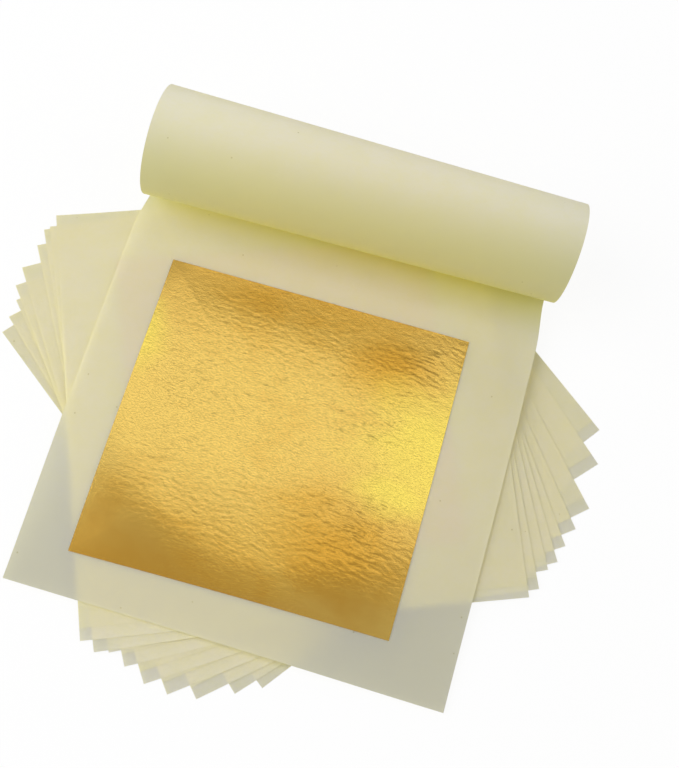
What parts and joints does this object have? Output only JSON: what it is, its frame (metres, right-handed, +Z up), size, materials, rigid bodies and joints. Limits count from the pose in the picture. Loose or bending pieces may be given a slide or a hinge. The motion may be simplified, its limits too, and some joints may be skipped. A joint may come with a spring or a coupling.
{
  "type": "gold leaf pack",
  "caption": "Fanned pack of loose square tissue folders, each holding one sheet of gold leaf; the top folder is open, its upper ply curled back into a roll.",
  "frame": {"origin": "on the table, under the middle of the bottom folder, on the axis the pack is fanned about", "axes": "+Z up from the table; +X along the near edge of the open page, left to right; +Y from that edge towards the fold and the roll"},
  "size_m": [0.1556, 0.1602, 0.0321],
  "materials": {
    "tissue": "thin translucent pale yellow tissue, faint fibres",
    "gold": "beaten gold leaf, bright and finely crinkled"
  },
  "bodies": {
    "folder_1": {"folder_1": "tissue", "gold_leaf_1": "gold"},
    "folder_2": {"folder_2": "tissue", "gold_leaf_2": "gold"},
    "folder_3": {"folder_3": "tissue", "gold_leaf_3": "gold"},
    "folder_4": {"folder_4": "tissue", "gold_leaf_4": "gold"},
    "folder_5": {"folder_5": "tissue", "gold_leaf_5": "gold"},
    "folder_6": {"folder_6": "tissue", "gold_leaf_6": "gold"},
    "folder_7": {"folder_7": "tissue", "gold_leaf_7": "gold"},
    "folder_8": {"folder_8": "tissue", "gold_leaf_8": "gold"},
    "folder_9": {"folder_9": "tissue", "gold_leaf_9": "gold"},
    "page": {"open_page": "tissue"},
    "flap": {"rolled_flap": "tissue"},
    "top_leaf": {"gold_leaf_10": "gold"}
  },
  "joints": [
    {"name": "folder_2_swivel", "type": "hinge", "parent": "folder_1", "child": "folder_2", "pos_m": [0, 0, 0.0005], "axis": [0, 0, 1], "range_deg": [-15, 5]},
    {"name": "folder_3_swivel", "type": "hinge", "parent": "folder_2", "child": "folder_3", "pos_m": [0, 0, 0.001], "axis": [0, 0, 1], "range_deg": [-13.7, 6.3]},
    {"name": "folder_4_swivel", "type": "hinge", "parent": "folder_3", "child": "folder_4", "pos_m": [0, 0, 0.0015], "axis": [0, 0, 1], "range_deg": [-16.3, 3.7]},
    {"name": "folder_5_swivel", "type": "hinge", "parent": "folder_4", "child": "folder_5", "pos_m": [0, 0, 0.002], "axis": [0, 0, 1], "range_deg": [-16.2, 3.8]},
    {"name": "folder_6_swivel", "type": "hinge", "parent": "folder_5", "child": "folder_6", "pos_m": [0, 0, 0.0025], "axis": [0, 0, 1], "range_deg": [-15.6, 4.4]},
    {"name": "folder_7_swivel", "type": "hinge", "parent": "folder_6", "child": "folder_7", "pos_m": [0, 0, 0.003], "axis": [0, 0, 1], "range_deg": [-17.2, 2.8]},
    {"name": "folder_8_swivel", "type": "hinge", "parent": "folder_7", "child": "folder_8", "pos_m": [0, 0, 0.0035], "axis": [0, 0, 1], "range_deg": [-17.4, 2.6]},
    {"name": "folder_9_swivel", "type": "hinge", "parent": "folder_8", "child": "folder_9", "pos_m": [0, 0, 0.004], "axis": [0, 0, 1], "range_deg": [-17.5, 2.5]},
    {"name": "page_swivel", "type": "hinge", "parent": "folder_9", "child": "page", "pos_m": [0, 0, 0.0045], "axis": [0, 0, 1], "range_deg": [-22.5, 22.5]},
    {"name": "flap_fold", "type": "hinge", "parent": "page", "child": "flap", "pos_m": [0.0015, 0.046, 0.0046], "axis": [1, 0, 0], "range_deg": [0, 45]},
    {"name": "top_leaf_lift", "type": "slide", "parent": "page", "child": "top_leaf", "axis": [0, 0, 1], "range_m": [0, 0.04]}
  ]
}
